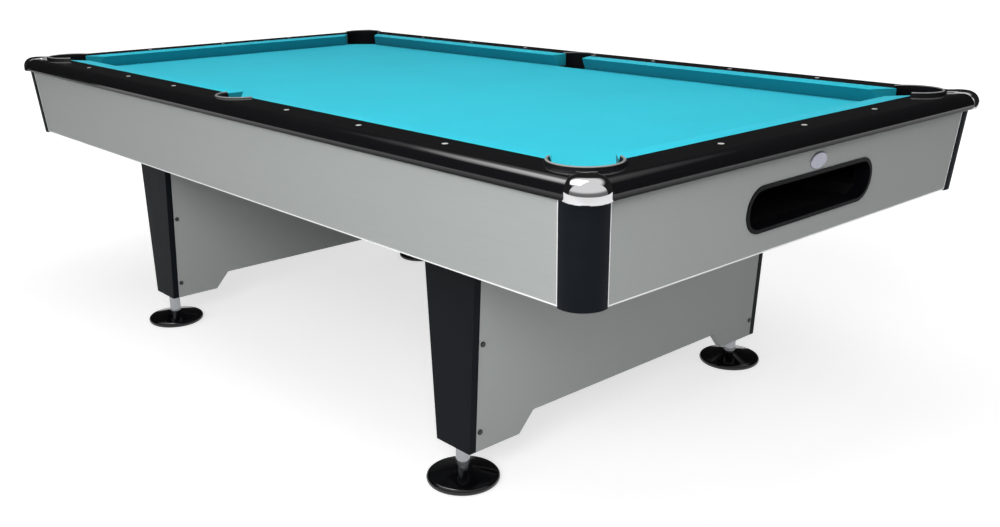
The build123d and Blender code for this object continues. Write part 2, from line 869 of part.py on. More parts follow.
pad = foot_pad()
for end, side, sx, sy in corners:
    nodes[f"foot_stem_{end}_{side}"] = quarter(stem, sx, sy)
    nodes[f"foot_pad_{end}_{side}"] = quarter(pad, sx, sy)

os.makedirs("parts", exist_ok=True)
for name, shape in nodes.items():
    export_step(shape, f"parts/{name}.step")
print(len(nodes), "nodes written")
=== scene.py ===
import json
import math

import bmesh
import bpy
from mathutils import Matrix, Vector


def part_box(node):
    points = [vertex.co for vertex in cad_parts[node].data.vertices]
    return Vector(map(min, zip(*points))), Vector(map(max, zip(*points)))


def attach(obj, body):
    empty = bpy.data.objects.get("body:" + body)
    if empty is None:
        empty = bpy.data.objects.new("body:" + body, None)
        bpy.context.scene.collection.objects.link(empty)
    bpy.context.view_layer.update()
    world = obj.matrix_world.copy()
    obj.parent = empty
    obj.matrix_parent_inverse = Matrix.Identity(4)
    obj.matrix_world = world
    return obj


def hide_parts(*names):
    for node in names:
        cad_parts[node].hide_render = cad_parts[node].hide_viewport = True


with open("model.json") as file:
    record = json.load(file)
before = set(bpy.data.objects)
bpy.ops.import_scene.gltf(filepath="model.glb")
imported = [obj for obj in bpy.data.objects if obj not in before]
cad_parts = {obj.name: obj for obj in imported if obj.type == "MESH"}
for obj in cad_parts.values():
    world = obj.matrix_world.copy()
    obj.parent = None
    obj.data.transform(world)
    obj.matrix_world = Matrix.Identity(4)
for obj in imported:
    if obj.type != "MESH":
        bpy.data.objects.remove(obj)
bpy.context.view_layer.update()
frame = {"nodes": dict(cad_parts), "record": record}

# The looks of a pool table, in metres: X towards the foot end, Y towards the far side, Z up.

# The photograph's camera
camera_place = Vector((2.3492, -1.8878, 1.1887))
camera_heading = math.radians(48.09)
camera_dip = math.radians(16.53)
camera_roll = math.radians(-0.58)
camera_lens = 38.0
camera_film = 36.0
camera_shift = (0.010, -0.0185)

# Places read from the frame
half_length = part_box("cushion_foot")[0].x
half_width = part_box("cushion_far_foot")[0].y
seam_half_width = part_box("cushion_far_foot")[1].y
bed_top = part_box("bed_cloth")[1].z
cloth_half_length, cloth_half_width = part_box("bed_cloth")[1].xy
rail_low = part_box("side_rail_far")[0].z
rail_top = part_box("side_rail_far")[1].z
apron_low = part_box("apron_far")[0].z
apron_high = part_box("apron_far")[1].z

# Pocket mouths and shelves
corner_mouth = 0.115
corner_shelf = 0.045
side_mouth = 0.128
side_shelf = 0.014
side_centre_out = 0.040
side_notch_radius = 0.0607
notch_steps = 8

# Bed cloth and cushion section
cloth_fold_down = 0.016
cloth_thickness = 0.0010
nose_height = 0.0365
nose_face = 0.0012
nose_crown = 0.0016
nose_reach = 0.0020
nose_ease = 0.0009
cushion_edge_ease = 0.0018
cushion_edge_angle = math.radians(50)
cushion_foot_set_back = 0.020
cushion_bed_gap = 0.0006

# Apron strips, the painted highlight along the pocket lips and the painted shade at the foot of the rail
apron_lean = math.tan(math.radians(5.0))
edge_strip_width = 0.0016
edge_strip_proud = 0.0004
lip_highlight_band = 0.0025
shaded_foot_start = 0.004
shaded_foot_stop = 0.014

# Corner caps: a dome over the rail ends with a top plate that reaches the pocket lip
cap_centre_in = 0.0424
cap_radius = 0.0443
cap_shoulder = 0.028
cap_foot_ease = 0.0015
cap_turns = 96
cap_steps = 12
rail_end_start = 0.0190
rail_end_stop = 0.0100
rail_end_inset = 0.0001
rail_top_round = 0.026
rail_foot_round = 0.007
plate_heading = math.radians(225)
plate_half_width = 0.018
plate_depth = 0.005
plate_edge = 0.0008
pocket_centre_out = 0.0215
lip_reach = 0.0743

# Ledges beside the gutters that close the view down the head pockets: black sheets that stand in for the
# shade there as painted shade
ledge_length = 0.125
ledge_width = 0.085
ledge_thickness = 0.002
ledge_below_gutter_top = 0.004
gutter_half_width = 0.044
gutter_behind_nose = 0.0362

# Light and stage
world_level = 0.17
overhead_power = 69
key_power = 92
fill_power = 0.5
overhead_place = (0.3, -0.5, 3.6)
overhead_target = (0.0, 0.0, 0.8)
overhead_size = (4.0, 3.0)
key_place = (2.45, -2.9, 2.1)
key_target = (0.2, -0.4, 0.6)
key_size = (2.0, 1.5)
fill_place = (1.22, 0.2, 0.42)
fill_target = (0.79, 0.2, 0.45)
fill_size = (0.9, 0.2)
floor_tone = (0.62, 0.62, 0.62, 1)
floor_half_size = 40
floor_glow_near = 0.65
floor_glow_far = 1.0
floor_fade_start = 1.6
floor_fade_stop = 3.4
wall_steps = 64
tall_wall_level = 0.02
tall_wall_radius = 7.0
tall_wall_start = math.radians(35)
tall_wall_sweep = math.radians(205)
tall_wall_fade_start = 6.0
tall_wall_top = 9.5
low_wall_level = 0.22
low_wall_radius = 7.3
low_wall_fade_start = 1.8
low_wall_top = 3.4
strip_middle = Vector((-1.2, -1.1, 4.2))
strip_length = 4.2
strip_width = 2.8
strip_level = 17.0
strip_fade = 0.6
strip_soft_from = 0.56

full_turn = 2 * math.pi
ends = {"head": -1, "foot": 1}
sides = {"near": -1, "far": 1}
corners = [(end, side) for end in ends for side in sides]


# Small helpers for meshes and shader nodes


def finish_piece(name, mesh, material, body="table", smooth_angle=35):
    """Turns a bmesh into a piece that rides on a body of the table."""
    data = bpy.data.meshes.new(name)
    mesh.to_mesh(data)
    mesh.free()
    data.materials.append(material)
    data.set_sharp_from_angle(angle=math.radians(smooth_angle))
    data.polygons.foreach_set("use_smooth", [smooth_angle > 0] * len(data.polygons))
    piece = bpy.data.objects.new(name, data)
    bpy.context.scene.collection.objects.link(piece)
    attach(piece, body)
    return piece


def new_verts(made):
    """The vertices in the result of a bmesh operator."""
    return [item for item in made["geom"] if isinstance(item, bmesh.types.BMVert)]


def ease_edges(mesh, edges, width, segments=3, clamped=True):
    """Rounds edges over by a width."""
    bmesh.ops.bevel(
        mesh,
        geom=edges,
        offset=width,
        affect="EDGES",
        segments=segments,
        profile=0.5,
        material=-1,
        clamp_overlap=clamped,
    )


def add_node(tree, kind, inputs=None, **settings):
    """Adds a shader node. An input that is given a socket is linked to it, and any other is set."""
    node = tree.nodes.new(kind)
    for name, value in settings.items():
        setattr(node, name, value)
    for name, value in (inputs or {}).items():
        if isinstance(value, bpy.types.NodeSocket):
            tree.links.new(value, node.inputs[name])
        else:
            node.inputs[name].default_value = value
    return node


def combine(tree, operation, *values):
    """The result of a maths node on plain values or sockets."""
    return add_node(tree, "ShaderNodeMath", dict(enumerate(values)), operation=operation).outputs[0]


def upward(tree, vector):
    """The Z part of a vector."""
    return add_node(tree, "ShaderNodeSeparateXYZ", {"Vector": vector}).outputs["Z"]


def two_tone(tree, factor, dark, light):
    """A colour between two tones."""
    ramp = add_node(tree, "ShaderNodeValToRGB", {"Fac": factor})
    ramp.color_ramp.elements[0].color = (*dark, 1)
    ramp.color_ramp.elements[1].color = (*light, 1)
    return ramp.outputs["Color"]


def span(tree, value, low, high, start=0.0, stop=1.0):
    """A value spread from one range to another."""
    inputs = {"Value": value, "From Min": start, "From Max": stop, "To Min": low, "To Max": high}
    return add_node(tree, "ShaderNodeMapRange", inputs).outputs["Result"]


def new_group(name, inputs, outputs):
    """An empty shader node group with its sockets, and the nodes at its two ends."""
    group = bpy.data.node_groups.new(name, "ShaderNodeTree")
    for label, kind, value in inputs:
        socket = group.interface.new_socket(label, in_out="INPUT", socket_type=kind)
        if value is not None:
            socket.default_value = value
    for label, kind in outputs:
        group.interface.new_socket(label, in_out="OUTPUT", socket_type=kind)
    return group, group.nodes.new("NodeGroupInput"), group.nodes.new("NodeGroupOutput")


def use_group(tree, group, inputs):
    return add_node(tree, "ShaderNodeGroup", inputs, node_tree=group)


def new_finish(name, inputs):
    """A material with its shader's plain values set, its tree, shader and object coordinates."""
    material = bpy.data.materials.new(name)
    material.use_nodes = True
    tree = material.node_tree
    shader = tree.nodes["Principled BSDF"]
    for label, value in inputs.items():
        shader.inputs[label].default_value = value
    place = add_node(tree, "ShaderNodeTexCoord").outputs["Object"]
    return material, tree, shader, place


def feed(tree, shader, **sockets):
    """Links sockets to shader inputs named with underscores for spaces."""
    for name, socket in sockets.items():
        tree.links.new(socket, shader.inputs[name.replace("_", " ")])


def bump(tree, height, strength, distance):
    inputs = {"Height": height, "Strength": strength, "Distance": distance}
    return add_node(tree, "ShaderNodeBump", inputs).outputs["Normal"]


# Effects that several finishes share


def polish_haze_group():
    """Faint uneven polish: a broad drift and a fine grain."""
    group, start, stop = new_group(
        "polish_haze",
        [("Vector", "NodeSocketVector", None), ("Scale", "NodeSocketFloat", 12.0)],
        [("Drift", "NodeSocketFloat"), ("Grain", "NodeSocketFloat")],
    )
    broad = add_node(
        group,
        "ShaderNodeTexNoise",
        {
            "Vector": start.outputs["Vector"],
            "Scale": start.outputs["Scale"],
            "Detail": 3.0,
            "Roughness": 0.55,
        },
    )
    finer = combine(group, "MULTIPLY", start.outputs["Scale"], 60.0)
    grain = add_node(
        group,
        "ShaderNodeTexNoise",
        {"Vector": start.outputs["Vector"], "Scale": finer, "Detail": 2.0},
    )
    group.links.new(span(group, broad.outputs["Fac"], 0, 1, 0.3, 0.7), stop.inputs["Drift"])
    group.links.new(grain.outputs["Fac"], stop.inputs["Grain"])
    return group


def board_grain_group():
    """Streaks along X with a fine tooth, for laminates and timber."""
    group, start, stop = new_group(
        "board_grain",
        [
            ("Vector", "NodeSocketVector", None),
            ("Stretch", "NodeSocketVector", (4.0, 220.0, 220.0)),
            ("Tooth", "NodeSocketFloat", 900.0),
        ],
        [("Streak", "NodeSocketFloat"), ("Tooth", "NodeSocketFloat")],
    )
    stretched = add_node(
        group,
        "ShaderNodeVectorMath",
        {0: start.outputs["Vector"], 1: start.outputs["Stretch"]},
        operation="MULTIPLY",
    )
    streak = add_node(
        group,
        "ShaderNodeTexNoise",
        {"Vector": stretched.outputs[0], "Scale": 1.0, "Detail": 4.0, "Roughness": 0.6},
    )
    tooth = add_node(
        group,
        "ShaderNodeTexNoise",
        {"Vector": start.outputs["Vector"], "Scale": start.outputs["Tooth"], "Detail": 1.0},
    )
    group.links.new(span(group, streak.outputs["Fac"], 0, 1, 0.28, 0.72), stop.inputs["Streak"])
    group.links.new(tooth.outputs["Fac"], stop.inputs["Tooth"])
    return group


polish_haze = polish_haze_group()
board_grain = board_grain_group()


# Finishes


def teal_cloth(name, upright_shade_level):
    """Napped wool cloth: a fine weave under short fibres, with painted shade that darkens upright and
    downward faces.
    """
    material, tree, shader, place = new_finish(
        name,
        {"Roughness": 0.92, "Specular IOR Level": 0.1, "Sheen Weight": 0.04, "Sheen Roughness": 0.5},
    )
    nap = add_node(
        tree,
        "ShaderNodeTexNoise",
        {"Vector": place, "Scale": 3.0, "Detail": 5.0, "Roughness": 0.6},
    )
    fibres = add_node(
        tree,
        "ShaderNodeTexNoise",
        {"Vector": place, "Scale": 650.0, "Detail": 4.0, "Roughness": 0.7},
    )
    threads = add_node(
        tree,
        "ShaderNodeTexVoronoi",
        {"Vector": place, "Scale": 1100.0, "Randomness": 0.45},
        distance="CHEBYCHEV",
    )
    mixed = combine(tree, "ADD", nap.outputs["Fac"], fibres.outputs["Fac"])
    shade = span(tree, mixed, 0, 1, 0.6, 1.4)
    surface = combine(tree, "ADD", threads.outputs["Distance"], fibres.outputs["Fac"])
    facing = add_node(tree, "ShaderNodeNewGeometry").outputs["True Normal"]
    # Painted shade: the cloth colour is darker on faces that stand upright or face down than on faces
    # that look up.
    upright_shade = span(tree, upward(tree, facing), upright_shade_level, 1.0, 0.1, 0.8)
    colour = two_tone(tree, shade, (0.016, 0.54, 0.69), (0.020, 0.61, 0.775))
    painted_shade_colour = add_node(tree, "ShaderNodeVectorMath", {0: colour, "Scale": upright_shade}, operation="SCALE")
    feed(
        tree,
        shader,
        Base_Color=painted_shade_colour.outputs["Vector"],
        Normal=bump(tree, surface, 0.3, 0.0004),
    )
    return material


def black_lacquer():
    """Deep gloss black with a faint orange peel; round the foot of the rail its gloss fades out as
    painted shade.
    """
    material, tree, shader, place = new_finish(
        "black_lacquer",
        {"Base Color": (0.006, 0.006, 0.007, 1), "Coat Roughness": 0.03, "IOR": 1.46},
    )
    haze = use_group(tree, polish_haze, {"Vector": place, "Scale": 9.0})
    height = upward(tree, place)
    shaded_foot_low = rail_low + shaded_foot_start
    shaded_foot_high = rail_low + shaded_foot_stop
    feed(
        tree,
        shader,
        Roughness=span(tree, haze.outputs["Drift"], 0.05, 0.12),
        # Painted shade: specular and coat fade out towards the rail's foot, so that it reads as shadow
        # under the rail.
        Specular_IOR_Level=span(tree, height, 0.02, 0.5, shaded_foot_low, shaded_foot_high),
        Coat_Weight=span(tree, height, 0.0, 0.15, shaded_foot_low, shaded_foot_high),
        Normal=bump(tree, haze.outputs["Grain"], 0.05, 0.0003),
    )
    return material


def polished_metal(name, colour, smoothest, roughest, metallic=1.0):
    """Chrome and bright metal with a faint uneven polish."""
    material, tree, shader, place = new_finish(name, {"Metallic": metallic, "Base Color": (*colour, 1)})
    haze = use_group(tree, polish_haze, {"Vector": place, "Scale": 30.0})
    feed(
        tree,
        shader,
        Roughness=span(tree, haze.outputs["Drift"], smoothest, roughest),
        Normal=bump(tree, haze.outputs["Grain"], 0.02, 0.0002),
    )
    return material


def moulding(name, dark, light, smoothest, roughest, grain, gloss=0.5):
    """Moulded plastic or painted metal with a fine tooth."""
    material, tree, shader, place = new_finish(name, {"IOR": 1.48, "Specular IOR Level": gloss})
    haze = use_group(tree, polish_haze, {"Vector": place, "Scale": 25.0})
    feed(
        tree,
        shader,
        Base_Color=two_tone(tree, haze.outputs["Drift"], dark, light),
        Roughness=span(tree, haze.outputs["Drift"], smoothest, roughest),
        Normal=bump(tree, haze.outputs["Grain"], grain, 0.0003),
    )
    return material


def lipped_moulding(name, crest):
    """Black pocket moulding with a painted highlight: a light grey band along the crest of its lip."""
    material, tree, shader, place = new_finish(name, {"Specular IOR Level": 0.05})
    haze = use_group(tree, polish_haze, {"Vector": place, "Scale": 25.0})
    height = upward(tree, place)
    # Painted highlight: the base colour turns light grey in a band at the top of the lip, up to its
    # crest.
    crest_highlight = span(tree, height, 0, 1, crest - lip_highlight_band, crest - 0.5 * lip_highlight_band)
    feed(
        tree,
        shader,
        Base_Color=two_tone(tree, crest_highlight, (0.004, 0.004, 0.005), (0.3, 0.3, 0.29)),
        Roughness=span(tree, haze.outputs["Drift"], 0.4, 0.5),
        Normal=bump(tree, haze.outputs["Grain"], 0.05, 0.0003),
    )
    return material


def laminate(name, dark, light, smoothest, roughest, metallic, stretch, gloss=0.5):
    """A printed board face with faint streaks."""
    material, tree, shader, place = new_finish(name, {"Metallic": metallic, "Specular IOR Level": gloss})
    grain = use_group(tree, board_grain, {"Vector": place, "Stretch": stretch})
    feed(
        tree,
        shader,
        Base_Color=two_tone(tree, grain.outputs["Streak"], dark, light),
        Roughness=span(tree, grain.outputs["Streak"], smoothest, roughest),
        Normal=bump(tree, grain.outputs["Tooth"], 0.06, 0.0002),
    )
    return material


post_dark = (0.005, 0.007, 0.010)
post_light = (0.007, 0.009, 0.012)
bezel_dark = (0.002, 0.002, 0.003)
bezel_light = (0.003, 0.003, 0.004)
return_dark = (0.008, 0.008, 0.008)
return_light = (0.012, 0.012, 0.012)
timber_dark = (0.34, 0.22, 0.12)
timber_light = (0.5, 0.36, 0.21)
along_board = (4, 220, 220)
silver_dark = (0.396, 0.419, 0.411)
silver_light = (0.414, 0.437, 0.430)
leg_dark = (0.004, 0.006, 0.008)
leg_light = (0.006, 0.008, 0.010)
finish_of_slot = {
    "slate": laminate("grey_slate", (0.12, 0.13, 0.14), (0.18, 0.19, 0.2), 0.6, 0.8, 0.0, (14, 30, 30)),
    # Bed and cushion cloth are one cloth in two copies with different painted shade on upright faces,
    # deeper on the cushions.
    "bed_cloth": teal_cloth("teal_cloth", 0.6),
    "cushion_cloth": teal_cloth("teal_cushion_cloth", 0.36),
    "rail_black": black_lacquer(),
    "sight_white": moulding("white_inlay", (0.9, 0.9, 0.88), (0.95, 0.95, 0.93), 0.2, 0.3, 0.02),
    "zinc_steel": polished_metal("zinc_steel", (0.55, 0.56, 0.58), 0.3, 0.42),
    "bolt_black": moulding("black_oxide", (0.012, 0.012, 0.013), (0.018, 0.018, 0.019), 0.25, 0.4, 0.05),
    "liner_black": lipped_moulding("liner_black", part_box("pocket_liner_foot_near")[1].z),
    "cap_chrome": polished_metal("cap_chrome", (0.62, 0.62, 0.63), 0.02, 0.05),
    "post_black": moulding("post_black", post_dark, post_light, 0.5, 0.6, 0.15, 0.06),
    "silver_laminate": laminate(
        "silver_laminate", silver_dark, silver_light, 0.36, 0.46, 0.0, along_board, 0.15
    ),
    "trim_aluminium": polished_metal("trim_aluminium", (0.95, 0.96, 0.97), 0.34, 0.42, 0.2),
    "bezel_black": moulding("bezel_black", bezel_dark, bezel_light, 0.4, 0.5, 0.1, 0.05),
    "badge_silver": polished_metal("badge_silver", (0.30, 0.31, 0.36), 0.22, 0.32),
    "return_black": moulding("return_black", return_dark, return_light, 0.5, 0.65, 0.1, 0.2),
    "frame_wood": laminate("frame_timber", timber_dark, timber_light, 0.55, 0.7, 0.0, (6, 90, 90)),
    "leg_black": laminate("leg_black", leg_dark, leg_light, 0.45, 0.55, 0.0, (160, 160, 5), 0.06),
    "stem_chrome": polished_metal("stem_chrome", (0.34, 0.35, 0.37), 0.05, 0.1),
    "pad_black": moulding("pad_black", (0.002, 0.002, 0.003), (0.004, 0.004, 0.005), 0.06, 0.12, 0.03),
}


def dress_frame():
    """Gives every piece of the frame the finish of its slot."""
    for part in frame["record"]["subparts"]:
        data = frame["nodes"][part["node"]].data
        data.materials.clear()
        data.materials.append(finish_of_slot[part["material_slot"]])
    side_liner = lipped_moulding("side_liner_black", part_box("pocket_liner_side_near")[1].z)
    for side in sides:
        frame["nodes"][f"pocket_liner_side_{side}"].data.materials[0] = side_liner


# Bed cloth: one sheet over the slate, folded down at the pocket shelves


def corner_notch():
    """The cloth's edge along the shelf of the foot-far pocket, from the end edge to the side edge."""
    shelf = (corner_shelf - corner_mouth / 2) * math.sqrt(2)
    return [
        (cloth_half_length, half_length + half_width + shelf - cloth_half_length),
        (half_length + half_width + shelf - cloth_half_width, cloth_half_width),
    ]


def side_notch():
    """The cloth's outline round the far side pocket, from the foot side to the head side."""
    narrow = math.acos((side_centre_out - side_shelf) / side_notch_radius)
    foot_side = [(side_notch_radius, cloth_half_width)]
    for step in range(notch_steps + 1):
        turn = math.pi / 2 + (narrow - math.pi / 2) * step / notch_steps
        outward = side_centre_out - side_notch_radius * math.cos(turn)
        foot_side.append((side_notch_radius * math.sin(turn), half_width + outward))
    return foot_side + [(-x, y) for x, y in reversed(foot_side)]


def make_bed_cloth():
    corner = corner_notch()
    side = side_notch()
    notches = [
        corner,
        side,
        [(-x, y) for x, y in reversed(corner)],
        [(-x, -y) for x, y in corner],
        [(-x, -y) for x, y in side],
        [(x, -y) for x, y in reversed(corner)],
    ]
    mesh = bmesh.new()
    shelf_edges = []
    outline = []
    for points in notches:
        verts = [mesh.verts.new((x, y, bed_top)) for x, y in points]
        outline += verts
        middle = len(verts) // 2
        shelf_edges.append((verts[middle - 1], verts[middle]))
    mesh.faces.new(outline)
    area = sum(face.calc_area() for face in mesh.faces)
    for first, second in shelf_edges:
        edge = mesh.edges.get((first, second))
        middle = (first.co + second.co) / 2
        across = (second.co - first.co).normalized()
        outward = across.cross(Vector((0, 0, 1)))
        if outward.dot(middle) < 0:
            outward.negate()
        fold = bmesh.ops.extrude_edge_only(mesh, edges=[edge])
        drop = outward * cloth_thickness - Vector((0, 0, cloth_fold_down))
        bmesh.ops.translate(mesh, verts=new_verts(fold), vec=drop)
        area += edge.calc_length() * cloth_fold_down
    bmesh.ops.recalc_face_normals(mesh, faces=mesh.faces)
    cloth = finish_of_slot["bed_cloth"]
    sheet = finish_piece("bed_cloth_sheet", mesh, cloth, smooth_angle=0)
    solid = sheet.modifiers.new("thickness", "SOLIDIFY")
    solid.thickness = cloth_thickness
    solid.offset = -1
    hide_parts("bed_cloth")


# Cushions: cloth over rubber, with a rounded nose and faced ends


def cushion_strip(length, low_cut, high_cut):
    """A cushion along X with its nose on Y = 0, its low end at X = 0 and both ends cut back or out."""
    depth = seam_half_width - half_width
    section = [
        (0.0, nose_height - nose_face),
        (nose_crown, nose_height),
        (depth, rail_top - bed_top),
        (depth, cushion_bed_gap),
        (cushion_foot_set_back, cushion_bed_gap),
    ]
    mesh = bmesh.new()
    profile = mesh.faces.new([mesh.verts.new((0, y, z)) for y, z in section])
    pushed = bmesh.ops.extrude_face_region(mesh, geom=[profile])
    far_end = new_verts(pushed)
    near_end = list(profile.verts)
    bmesh.ops.translate(mesh, verts=far_end, vec=(length, 0, 0))
    for verts, cut in ((near_end, low_cut), (far_end, high_cut)):
        lean = Matrix.Identity(4)
        lean[0][1] = cut / depth
        bmesh.ops.transform(mesh, matrix=lean, verts=verts)
    bmesh.ops.recalc_face_normals(mesh, faces=mesh.faces)
    nose_edges = []
    for edge in mesh.edges:
        if all(v.co.z > nose_height - nose_reach and v.co.y < nose_reach for v in edge.verts):
            nose_edges.append(edge)
    ease_edges(mesh, nose_edges, nose_ease, clamped=False)
    end_edges = [e for e in mesh.edges if e.is_manifold and e.calc_face_angle(0) > cushion_edge_angle]
    ease_edges(mesh, end_edges, cushion_edge_ease)
    return mesh


def place_cushion(mesh, name, matrix):
    bmesh.ops.transform(mesh, matrix=matrix, verts=mesh.verts)
    bmesh.ops.recalc_face_normals(mesh, faces=mesh.faces)
    cloth = finish_of_slot["cushion_cloth"]
    piece = finish_piece(f"{name}_cloth", mesh, cloth, smooth_angle=50)
    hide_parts(name)


def make_cushions():
    corner_tip = corner_mouth * math.sqrt(0.5)
    side_tip = side_mouth / 2
    corner_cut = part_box("cushion_far_foot")[1].x - (half_length - corner_tip)
    side_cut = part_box("cushion_far_foot")[0].x - side_tip
    long_run = half_length - corner_tip - side_tip
    end_run = 2 * (half_width - corner_tip)
    for end, side in corners:
        mesh = cushion_strip(long_run, side_cut, corner_cut)
        flip = Matrix.Diagonal((ends[end], sides[side], 1, 1))
        place = flip @ Matrix.Translation((side_tip, half_width, bed_top))
        place_cushion(mesh, f"cushion_{side}_{end}", place)
    for end, sign in ends.items():
        mesh = cushion_strip(end_run, -corner_cut, corner_cut)
        flip = Matrix.Diagonal((sign, 1, 1, 1))
        turn = Matrix.Rotation(-math.pi / 2, 4, "Z")
        place = flip @ Matrix.Translation((half_length, end_run / 2, bed_top)) @ turn
        place_cushion(mesh, f"cushion_{end}", place)


# Chrome caps: domes that close on the rail ends, which run on under them


def quarter_round(reach, height, radius, start):
    """Points (reach, height) on a quarter circle that begins at an angle and turns towards the top."""
    points = []
    for step in range(cap_steps + 1):
        turn = start + math.pi / 2 * step / cap_steps
        points.append((reach + radius * math.cos(turn), height + radius * math.sin(turn)))
    return points


def add_dome(mesh):
    """A dome about the Z axis, closed at its foot and its top."""
    low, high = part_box("corner_caps")
    crown = cap_radius - cap_shoulder
    profile = [(cap_radius - cap_foot_ease, low.z), (cap_radius, low.z + cap_foot_ease)]
    profile += quarter_round(crown, high.z - cap_shoulder, cap_shoulder, 0)
    verts = [mesh.verts.new((reach, 0, z)) for reach, z in profile]
    edges = [mesh.edges.new(pair) for pair in zip(verts, verts[1:])]
    bmesh.ops.spin(
        mesh,
        geom=verts + edges,
        axis=(0, 0, 1),
        cent=(0, 0, 0),
        angle=full_turn,
        steps=cap_turns,
        use_merge=True,
    )
    rims = [edge for edge in mesh.edges if edge.is_boundary]
    bmesh.ops.holes_fill(mesh, edges=rims)


def add_plate(mesh):
    """A flat plate from the dome's middle towards the pocket, with its end cut to the lip's curve."""
    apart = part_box("side_rail_far")[1].y - cap_centre_in - half_width - pocket_centre_out
    outline = [(0, plate_half_width)]
    for step in range(cap_steps + 1):
        across = plate_half_width * (1 - 2 * step / cap_steps)
        outline.append((apart * math.sqrt(2) - math.sqrt(lip_reach**2 - across**2), across))
    outline.append((0, -plate_half_width))
    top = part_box("corner_caps")[1].z - rail_end_inset
    verts = [mesh.verts.new((inward, across, top)) for inward, across in outline]
    plate = mesh.faces.new(verts)
    pushed = new_verts(bmesh.ops.extrude_face_region(mesh, geom=[plate]))
    bmesh.ops.translate(mesh, verts=pushed, vec=(0, 0, -plate_depth))
    bmesh.ops.transform(mesh, matrix=Matrix.Rotation(plate_heading, 4, "Z"), verts=verts + pushed)
    bmesh.ops.recalc_face_normals(mesh, faces=mesh.faces)
    ease_edges(mesh, list(plate.edges), plate_edge, segments=2)


def add_rail_end(mesh, turn):
    """The last stretch of a rail under the cap, along X before it is turned."""
    outer = cap_centre_in - rail_end_inset
    foot_height = rail_low + rail_foot_round
    top_height = rail_top - rail_end_inset - rail_top_round
    section = quarter_round(outer - rail_foot_round, foot_height, rail_foot_round, -math.pi / 2)
    section += quarter_round(outer - rail_top_round, top_height, rail_top_round, 0)
    verts = [mesh.verts.new((-rail_end_start, reach, z)) for reach, z in section]
    pushed = new_verts(bmesh.ops.extrude_face_region(mesh, geom=[mesh.faces.new(verts)]))
    bmesh.ops.translate(mesh, verts=pushed, vec=(rail_end_start - rail_end_stop, 0, 0))
    bmesh.ops.transform(mesh, matrix=turn, verts=verts + pushed)


def repeat_at_corners(mesh):
    """Moves a shape from the Z axis to the foot-far cap and mirrors it to the other corners."""
    centre_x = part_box("end_rail_foot")[1].x - cap_centre_in
    centre_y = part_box("side_rail_far")[1].y - cap_centre_in
    bmesh.ops.translate(mesh, verts=mesh.verts, vec=(centre_x, centre_y, 0))
    for axis in ("X", "Y"):
        bmesh.ops.mirror(mesh, geom=[*mesh.verts, *mesh.edges, *mesh.faces], axis=axis, merge_dist=0)
    bmesh.ops.recalc_face_normals(mesh, faces=mesh.faces)


def make_caps():
    """The four caps, and the ends of the four rails under them."""
    domes = bmesh.new()
    add_dome(domes)
    add_plate(domes)
    repeat_at_corners(domes)
    rail_ends = bmesh.new()
    side_to_end = Matrix.Rotation(-math.pi / 2, 4, "Z") @ Matrix.Diagonal((-1, 1, 1, 1))
    for turn in (Matrix.Identity(4), side_to_end):
        add_rail_end(rail_ends, turn)
    repeat_at_corners(rail_ends)
    chrome = finish_of_slot["cap_chrome"]
    caps = finish_piece("corner_cap_domes", domes, chrome, smooth_angle=40)
    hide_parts("corner_caps")
    finish_piece("rail_ends", rail_ends, finish_of_slot["rail_black"])


# Ledges under the head pockets


def make_gutter_ledges():
    """A thin black ledge on the inner side of each gutter under its head pocket, a dark sheet of painted
    shade that keeps the view down the pocket dark.
    """
    low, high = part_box("gutter_far")
    inner = half_width + gutter_behind_nose - gutter_half_width
    mesh = bmesh.new()
    for sign in sides.values():
        made = bmesh.ops.create_cube(mesh, size=1.0)
        size = Matrix.Diagonal((ledge_length, ledge_width, ledge_thickness, 1))
        middle = (
            low.x + ledge_length / 2,
            sign * (inner - ledge_width / 2),
            high.z - ledge_below_gutter_top - ledge_thickness / 2,
        )
        bmesh.ops.transform(mesh, matrix=Matrix.Translation(middle) @ size, verts=made["verts"])
    finish_piece("gutter_ledges", mesh, finish_of_slot["return_black"])


# Bright strips that edge the aprons beside the corner posts


def make_edge_strips():
    """One thin upright strip at each end of each apron, leaning with the board."""
    mesh = bmesh.new()
    rise = apron_high - apron_low
    for node, along_axis, out_axis in (
        ("apron_far", 0, 1),
        ("apron_near", 0, 1),
        ("apron_foot", 1, 0),
        ("apron_head", 1, 0),
    ):
        low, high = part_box(node)
        sign = 1 if high[out_axis] > -low[out_axis] else -1
        out_top = high[out_axis] if sign > 0 else -low[out_axis]
        along_top = high[along_axis]
        for end in (-1, 1):
            made = bmesh.ops.create_cube(mesh, size=1.0)
            verts = made["verts"]
            size = [0, 0, rise]
            size[along_axis] = edge_strip_width
            size[out_axis] = edge_strip_width
            middle = [0, 0, (apron_low + apron_high) / 2]
            middle[along_axis] = end * (along_top - edge_strip_width / 2)
            middle[out_axis] = sign * (out_top + edge_strip_proud - edge_strip_width / 2)
            place = Matrix.Translation(middle) @ Matrix.Diagonal((*size, 1))
            bmesh.ops.transform(mesh, matrix=place, verts=verts)
            lean = Matrix.Identity(4)
            lean[along_axis][2] = end * apron_lean
            lean[out_axis][2] = sign * apron_lean
            top = Matrix.Translation((0, 0, apron_high))
            bmesh.ops.transform(mesh, matrix=top @ lean @ top.inverted(), verts=verts)
    bmesh.ops.recalc_face_normals(mesh, faces=mesh.faces)
    finish_piece("apron_edge_strips", mesh, finish_of_slot["trim_aluminium"])


# Stage, light and camera


def seen_directly(tree):
    """1 where the camera, a reflection or clear glass sees the surface, and 0 elsewhere."""
    path = add_node(tree, "ShaderNodeLightPath").outputs
    seen = combine(tree, "MAXIMUM", path["Is Camera Ray"], path["Is Glossy Ray"])
    return combine(tree, "MAXIMUM", seen, path["Is Transmission Ray"])


